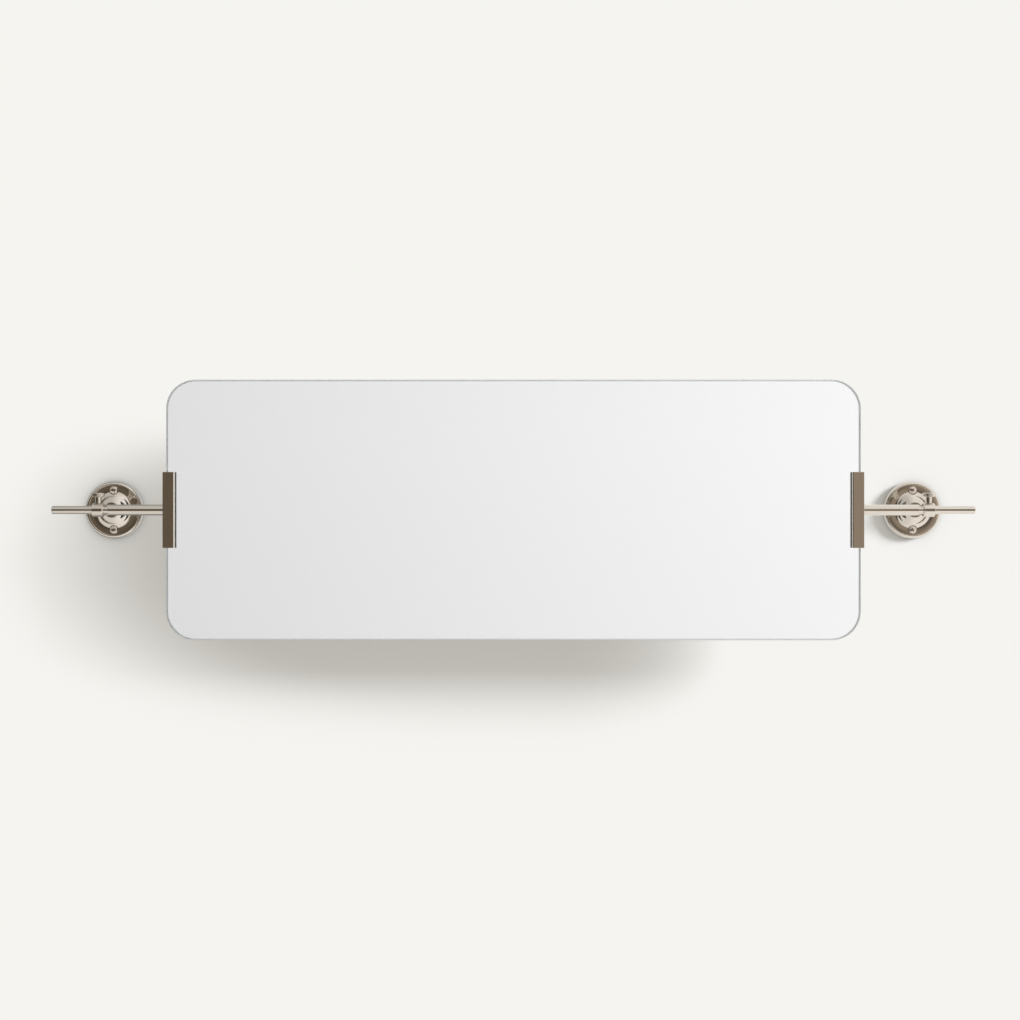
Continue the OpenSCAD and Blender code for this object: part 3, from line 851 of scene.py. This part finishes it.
def recessCutter(place, top, reach, slot, depth):
    # four tapered wings, widest at the top
    bm = bmesh.new()
    rings = []
    for along, share in ((top + depth, recess["above"]), (top, 1), (top - depth, recess["foot"])):
        ring, wing = [], reach * share
        half = slot / 2 * (recess["slotFoot"] + (1 - recess["slotFoot"]) * share)
        root = half * recess["rootCut"]
        for c, s in ((1, 0), (0, 1), (-1, 0), (0, -1)):
            for u, v in ((wing, -half), (wing, half), (root, root)):
                ring.append(bm.verts.new(place(u * c - v * s, u * s + v * c, along)))
        rings.append(ring)
    joinRings(bm, rings)
    bm.faces.new(rings[0])
    bm.faces.new(rings[-1])
    return meshFrom(bm, "cutter", screwNickel)


def makeWallScrews(side, size):
    pair = []
    shankR, steps, depth = wallScrew["shankR"], wallScrew["steps"], wallScrew["threadDepth"]
    headR, neckR, rimH = size["screwR"], plate["screwNeckR"], plate["screwRimH"]
    crown, count = size["screwTopH"] - rimH + wallScrew["crownOver"], wallScrew["crownSteps"]
    ball = (headR * headR + crown * crown) / (2 * crown)
    top = [(r, rimH + crown - ball + math.sqrt(ball * ball - r * r))
           for r in [headR * wallScrew["crownShare"] * k / count for k in range(count + 1)]]
    below = eased([top[-1], (headR, rimH, wallScrew["rimEase"]),
                   (neckR, rimH - headR + neckR, wallScrew["neckEase"]),
                   (shankR, wallScrew["flareH"]), (shankR, wallScrew["plainH"])])[1:]
    # the shank narrows to the thread's root, and then the thread winds down to a point
    root = [(shankR, wallScrew["plainH"]), (shankR - depth, wallScrew["plainH"] - depth)]
    for sign, turn in wallScrew["turns"].items():
        z, spin = sign * size["screwZ"], math.radians(turn)

        def place(across, up, along):
            return offWall(side, size["plateX"], z)(
                across * math.cos(spin) - up * math.sin(spin),
                across * math.sin(spin) + up * math.cos(spin), along)

        bm = bmesh.new()
        turned(bm, top + below, place, steps)
        turned(bm, root, place, steps)
        threaded(bm, place, shankR - depth, depth, wallScrew["pitch"], root[1][1], size["screwTipH"], steps,
                 woodThread, taper=wallScrew["pointL"])
        closeHoles(bm)
        piece = meshFrom(bm, side + "WallScrew", screwNickel)
        cutAway(piece, recessCutter(
            place, size["screwTopH"], recess["reach"], recess["slot"], recess["depth"]))
        pair.append(piece)
    piece = joined(pair, side + "WallScrewPair")
    fit(piece, "wall_mounts", "screw_nickel", side + "_wall_screws")


def joined(pieces, name):
    bm = bmesh.new()
    for piece in pieces:
        bm.from_mesh(piece.data)
    material = pieces[0].data.materials[0]
    for piece in pieces:
        bpy.data.objects.remove(piece)
    return meshFrom(bm, name, material)


postScrew = {
    "headT": 3.4 * mm, "shankR": 3 * mm, "ease": 0.9 * mm, "seatEase": 0.1 * mm, "steps": 48,
    "threadDepth": 0.55 * mm, "pitch": 1 * mm, "plainL": 1 * mm, "neckL": 0.5 * mm,
    "reach": 3 * mm, "slot": 1.2 * mm, "depth": 2 * mm,      # its cross recess
}


def makePostScrew(side, size):
    place = offWall(side, size["plateX"])
    h0, h1, headR = size["postScrewH0"], size["postScrewH1"], size["postScrewR"]
    shankR, depth, steps = postScrew["shankR"], postScrew["threadDepth"], postScrew["steps"]
    seatH, seatEase, root = h0 + postScrew["headT"], postScrew["seatEase"], shankR - depth
    plainH = seatH + postScrew["plainL"]
    threadH = plainH + postScrew["neckL"]
    outline = eased([(0, h0), (headR, h0, postScrew["ease"]), (headR, seatH, seatEase),
                     (shankR, seatH, seatEase), (shankR, plainH), (root, threadH)])
    bm = bmesh.new()
    turned(bm, outline, place, steps)
    threaded(bm, place, root, depth, postScrew["pitch"], threadH, h1, steps, machineThread)
    closeHoles(bm)
    piece = meshFrom(bm, side + "PostScrewTurned", zincPlate)

    def fromBehind(across, up, along):
        return place(across, up, -along)

    cutAway(piece, recessCutter(fromBehind, -h0, postScrew["reach"], postScrew["slot"], postScrew["depth"]))
    fit(piece, "wall_mounts", "plain_steel", side + "_post_screw")


# ---- build

makePane()
for side in sides:
    size = measures(side)
    makeClip(side, size)
    makeLiner(side, size)
    makeGrubScrews(side, size)
    makeRod(side, size)
    makeSleeve(side, size)
    makeCollar(side, size)
    makeThumbScrew(side, size)
    makeWallPlate(side, size)
    makeWallScrews(side, size)
    makePostScrew(side, size)
print("pieces made")

keptLooks = {
    "silver_coat": mirrorSilver, "safety_backing": safetyFilm,
    "left_post": polishedNickel, "right_post": polishedNickel,
    "left_brake_plug": turnedNylon, "right_brake_plug": turnedNylon,
}
for node, material in keptLooks.items():
    frame["nodes"][node].material_slots[0].material = material

# ---- wall, light and camera

studio = {
    "wallColour": (0.913, 0.905, 0.871), "wallWidth": 14, "wallHeight": 10,
    "stipple": {"scale": 500, "detail": 2, "bump": 0.05, "depth": 1e-5},
    # The lamps give the wall this much of its light, and the wall's own painted glow, an emission that stands
    # in for fill light, gives the rest. A window far to the right, a little cool, stands as three suns. Their
    # light is painted into an oval pool round the mirror, with a soft edge: outside it the wall's colour is
    # black to the suns and the glow is full.
    "broad": {"from": (0.464, -1, 0.522), "angle": 60, "share": 0.03},
    "window": {
        "x": 2.85, "angle": 14, "tint": (0.97, 1, 1.055),
        "shareAt": {0.5: 0.04, 0.95: 0.32, 1.3: 0.11},     # by the height that each sun comes from
    },
    "poolMiddle": (0.08, 0, -0.055), "poolHalf": (0.764, 1, 0.295), "poolCore": 0.61,
    "cornerShade": 0.03, "cornerSamples": 4, "clearWithin": 5 * mm,
    "dimSpan": (0.3, -0.4), "dimBy": 0.55,     # painted shade: how much darker the wall shows in the metal, towards the left
    # The pieces have four suns of their own
    "pieceSuns": {
        "keySun": {"from": (0.5, -0.7, 0.6), "strength": 1.7, "angle": 40},
        "fillSun": {"from": (-0.6, -0.7, 0.1), "strength": 1.1, "angle": 60},
        "lowSun": {"from": (0.1, -0.3, -1), "strength": 0.5, "angle": 60},
        "backSun": {"from": (-0.4, 1, 0.5), "strength": 0.5, "angle": 50},
    },
}


def makeWall():
    width, height = studio["wallWidth"] / 2, studio["wallHeight"] / 2
    mesh = bpy.data.meshes.new("wall")
    corners = [(-width, 0, -height), (width, 0, -height), (width, 0, height), (-width, 0, height)]
    mesh.from_pydata(corners, [], [(0, 1, 2, 3)])
    wall = bpy.data.objects.new("wall", mesh)
    scene.collection.objects.link(wall)
    material, tree, shader = newMaterial("paintedWall")
    tree.nodes.remove(shader)
    colour, broad, window, stipple = (studio[key] for key in ("wallColour", "broad", "window", "stipple"))
    spot = addNode(tree, "ShaderNodeTexCoord").outputs["Object"]
    dots = noise(tree, spot, stipple["scale"], stipple["detail"])
    fromMiddle = addNode(tree, "ShaderNodeVectorMath", {
        0: spot, 1: studio["poolMiddle"]}, operation="SUBTRACT")
    inHalves = addNode(tree, "ShaderNodeVectorMath", {
        0: fromMiddle.outputs["Vector"], 1: studio["poolHalf"]}, operation="DIVIDE")
    distance = addNode(tree, "ShaderNodeVectorMath", {0: inHalves.outputs["Vector"]}, operation="LENGTH")
    # painted pool of light: the colour that the suns light fades to black outside the oval
    reach = remapped(tree, distance.outputs["Value"], (studio["poolCore"], 1), (1, 0),
                     interpolation_type="SMOOTHSTEP")
    poolPaintedColour = blended(tree, reach, (0, 0, 0, 1), (*colour, 1))
    paint = addNode(tree, "ShaderNodeBsdfDiffuse", {"Color": poolPaintedColour})
    tree.links.new(bumpFrom(tree, dots, stipple["bump"], stipple["depth"]), paint.inputs["Normal"])
    windowShare = sum(window["shareAt"].values())
    # painted glow: the wall emits the rest of its light itself, full outside the pool and less inside it
    rest = [c * (1 - broad["share"] - windowShare * t) for c, t in zip(colour, window["tint"])]
    fillGlowColour = blended(tree, reach, (*colour, 1), (*rest, 1))
    # painted contact shade: ambient occlusion darkens the glow near the pieces
    corner = addNode(tree, "ShaderNodeAmbientOcclusion", {"Distance": studio["cornerShade"]},
                     samples=studio["cornerSamples"])
    fillGlow = addNode(tree, "ShaderNodeEmission", {"Color": fillGlowColour, "Strength": corner.outputs["AO"]})
    litAndGlowing = addNode(tree, "ShaderNodeAddShader", {0: paint.outputs[0], 1: fillGlow.outputs[0]})

    # painted shade: the room is dimmer to the left, so the wall as the metal sees it there is mixed towards
    # black, darker than the camera sees it
    rays = addNode(tree, "ShaderNodeLightPath").outputs
    across = addNode(tree, "ShaderNodeSeparateXYZ", {0: spot}).outputs["X"]
    paintedShadeInMetal = remapped(tree, across, studio["dimSpan"], (0, studio["dimBy"]))
    # a ray from the mirror comes out through its glass, and so counts as transmitted too
    fromMetal = maths(tree, "SUBTRACT", rays["Is Glossy Ray"], rays["Is Transmission Ray"], use_clamp=True)
    dark = addNode(tree, "ShaderNodeEmission", {"Strength": 0})
    shown = addNode(tree, "ShaderNodeMixShader", {
        0: maths(tree, "MULTIPLY", paintedShadeInMetal, fromMetal), 1: litAndGlowing.outputs[0], 2: dark.outputs[0]})

    # seen from behind, the wall is clear, and so is the little of it that the plates' backs reflect
    close = maths(tree, "LESS_THAN", rays["Ray Length"], studio["clearWithin"])
    behind = addNode(tree, "ShaderNodeNewGeometry").outputs["Backfacing"]
    unseen = maths(tree, "MAXIMUM", behind, maths(tree, "MULTIPLY", close, rays["Is Glossy Ray"]))
    clear = addNode(tree, "ShaderNodeBsdfTransparent")
    whole = addNode(tree, "ShaderNodeMixShader", {0: unseen, 1: shown.outputs[0], 2: clear.outputs[0]})
    tree.links.new(whole.outputs[0], tree.nodes["Material Output"].inputs["Surface"])
    mesh.materials.append(material)
    wall.visible_shadow = False
    wall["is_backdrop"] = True
    return wall


def addSun(name, comesFrom, strength, angle, receivers):
    lamp = bpy.data.lights.new(name, "SUN")
    lamp.energy, lamp.angle = strength, math.radians(angle)
    sun = bpy.data.objects.new(name, lamp)
    sun.rotation_mode = "QUATERNION"
    sun.rotation_quaternion = Vector(comesFrom).to_track_quat("Z", "Y")
    sun.visible_glossy = sun.visible_transmission = False
    scene.collection.objects.link(sun)
    sun.light_linking.receiver_collection = receivers
    return sun


def addWallSun(name, comesFrom, angle, share):
    # a sun of this strength gives its share of the wall's light
    facing = -Vector(comesFrom).normalized().y
    return addSun(name, comesFrom, share * math.pi / facing, angle, wallOnly)


def gathered(name, members, state="INCLUDE"):
    group = bpy.data.collections.new(name)
    for member in members:
        group.objects.link(member)
    for entry in group.collection_objects:
        entry.light_linking.link_state = state
    return group


wall = makeWall()
wallOnly = gathered("wallOnly", [wall])
allButWall = gathered("allButWall", [wall], "EXCLUDE")
# the collars, posts and thumb screws throw no window shadow of their own
windowBlockers = gathered(
    "windowBlockers",
    [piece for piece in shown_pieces() if body_of(piece) == ["mirror"] or "Plate" in piece.name])
broad, window = studio["broad"], studio["window"]
addWallSun("broadSun", broad["from"], broad["angle"], broad["share"])
for height, share in window["shareAt"].items():
    sun = addWallSun("windowSun", (window["x"], -1, height), window["angle"], share)
    sun.data.color = window["tint"]
    sun.light_linking.blocker_collection = windowBlockers
for name, lamp in studio["pieceSuns"].items():
    addSun(name, lamp["from"], lamp["strength"], lamp["angle"], allButWall)
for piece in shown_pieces():
    piece.visible_diffuse = False            # no light bounces from the pieces onto the wall


# What the polished metal sees is a pale room, duller to the left, with a dim band in front at eye
# level. What the mirror shows is a pale wall that brightens to the right.
# Each span runs along one axis of the view's direction, and each pair of colours is at its two ends.
room = {
    "paleUp": ((0.58, 0.56, 0.53, 1), (0.90, 0.87, 0.84, 1)),
    "paleDown": ((0.76, 0.73, 0.69, 1), (0.95, 0.92, 0.88, 1)), "paleSpan": (-0.3, 0.3),
    "horizon": (-0.15, 0.15),
    "dim": ((0.13, 0.105, 0.075, 1), (0.31, 0.255, 0.20, 1)), "dimSpan": (-0.21, 0.21),
    "dimRight": (0.12, 0.098, 0.078, 1), "dimRightSpan": (0.235, 0.285),
    "dimLeft": (0.08, 0.064, 0.048, 1), "dimLeftSpan": (-0.245, -0.285),
    "bandTop": (math.radians(20), math.radians(25)), "bandEnd": (0.33, 0.5),
    "mirrored": ((0.86, 0.843, 0.848, 1), (1.08, 1.056, 1.069, 1)), "mirroredSpan": (-0.215, 0.215),
    "low": ((0.96, 0.96, 0.96, 1), (1, 1, 1, 1)), "lowSpan": (-0.1, 0.05),
}
world = bpy.data.worlds.new("studio")
scene.world = world
world.use_nodes = True
tree = world.node_tree
direction = addNode(tree, "ShaderNodeTexCoord").outputs["Generated"]
axes = addNode(tree, "ShaderNodeSeparateXYZ", {0: direction}).outputs


def ramp(value, span, fromColour, toColour):
    return blended(tree, remapped(tree, value, span), fromColour, toColour)


# the band is measured round the X axis, so that it runs level along the rods
elevation = maths(tree, "ARCTAN2", axes["Z"], maths(tree, "MULTIPLY", axes["Y"], -1))
steep = maths(tree, "ABSOLUTE", elevation)
pale = ramp(axes["Z"], room["horizon"], ramp(axes["X"], room["paleSpan"], *room["paleDown"]),
            ramp(axes["X"], room["paleSpan"], *room["paleUp"]))
dim = ramp(axes["X"], room["dimSpan"], *room["dim"])
dim = ramp(axes["X"], room["dimRightSpan"], dim, room["dimRight"])
dim = ramp(axes["X"], room["dimLeftSpan"], dim, room["dimLeft"])
inDim = maths(tree, "MULTIPLY", remapped(tree, steep, room["bandTop"], (1, 0)),
              remapped(tree, axes["X"], room["bandEnd"], (1, 0)))
inMetal = blended(tree, inDim, pale, dim)
inMirror = blended(tree, 1, ramp(axes["X"], room["mirroredSpan"], *room["mirrored"]),
                   ramp(axes["Z"], room["lowSpan"], *room["low"]), blend_type="MULTIPLY")

rays = addNode(tree, "ShaderNodeLightPath").outputs
seen = blended(tree, rays["Is Camera Ray"], (0, 0, 0, 1), (*studio["wallColour"], 1))
seen = blended(tree, rays["Is Glossy Ray"], seen, inMetal)
seen = blended(tree, rays["Is Transmission Ray"], seen, inMirror)
tree.links.new(seen, tree.nodes["Background"].inputs["Color"])

eye = {"at": (-0.004, -1.88, 0), "lens": 54.35, "sensor": 36, "near": 0.01, "far": 100}
lens = bpy.data.cameras.new("camera")
lens.lens, lens.sensor_width = eye["lens"], eye["sensor"]
lens.clip_start, lens.clip_end = eye["near"], eye["far"]
camera = bpy.data.objects.new("camera", lens)
camera.location = eye["at"]
camera.rotation_euler = (math.radians(90), 0, 0)
scene.collection.objects.link(camera)
scene.camera = camera
print("studio made")
